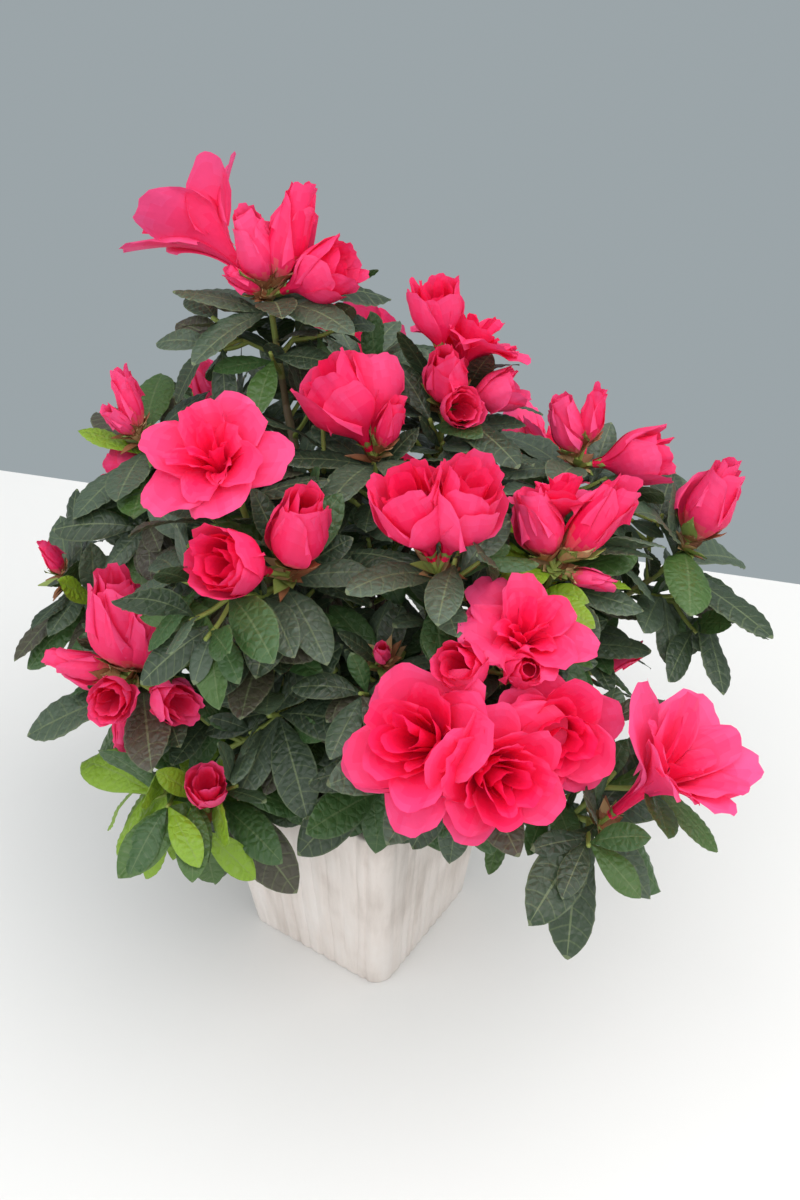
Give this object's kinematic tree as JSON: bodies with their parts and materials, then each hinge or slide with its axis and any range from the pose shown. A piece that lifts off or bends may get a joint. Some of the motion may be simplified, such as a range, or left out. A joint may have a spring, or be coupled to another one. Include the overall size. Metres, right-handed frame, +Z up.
{
  "type": "potted azalea",
  "caption": "Small azalea shrub in full bloom, with ruffled pink flowers, buds and dark oval leaves on short branching boughs, in a ribbed square planter that tapers to its foot.",
  "frame": {"origin": "centre of the planter's flat underside", "axes": "+Z up along the planter's axis; the planter's four faces look along +X, -X, +Y and -Y; the crown leans its longest sprays towards +X and -X"},
  "size_m": [0.312, 0.2678, 0.3241],
  "materials": {
    "planter": "matt off-white",
    "soil": "rough dark compost",
    "bark": "rough bark",
    "foliage": "dull green leaves with pink flowers"
  },
  "bodies": {
    "root": {"planter": "planter", "soil": "soil", "trunk": "bark", "bough_crest": "bark", "bough_centre_top": "bark", "bough_front_right": "bark", "bough_right_outer": "bark", "bough_right_upper": "bark", "bough_left_upper": "bark", "bough_low_left": "bark", "bough_back_right": "bark", "bough_back_left": "bark", "bough_back_top": "bark", "bough_upper_middle": "bark", "bough_left_centre": "bark", "bough_centre": "bark", "bough_centre_right": "bark", "bough_low_right": "bark", "bough_left_outer": "bark", "bough_bottom_left": "bark", "bough_front_left": "bark", "bough_front_low": "bark", "bough_right_low": "bark", "bough_back_low_left": "bark", "bough_back_low": "bark", "foliage_crest": "foliage", "foliage_centre_top": "foliage", "foliage_front_right": "foliage", "foliage_right_outer": "foliage", "foliage_right_upper": "foliage", "foliage_left_upper": "foliage", "foliage_low_left": "foliage", "foliage_back_right": "foliage", "foliage_back_left": "foliage", "foliage_back_top": "foliage", "foliage_upper_middle": "foliage", "foliage_left_centre": "foliage", "foliage_centre": "foliage", "foliage_centre_right": "foliage", "foliage_low_right": "foliage", "foliage_left_outer": "foliage", "foliage_bottom_left": "foliage", "foliage_front_left": "foliage", "foliage_front_low": "foliage", "foliage_right_low": "foliage", "foliage_back_low_left": "foliage", "foliage_back_low": "foliage"}
  },
  "joints": []
}
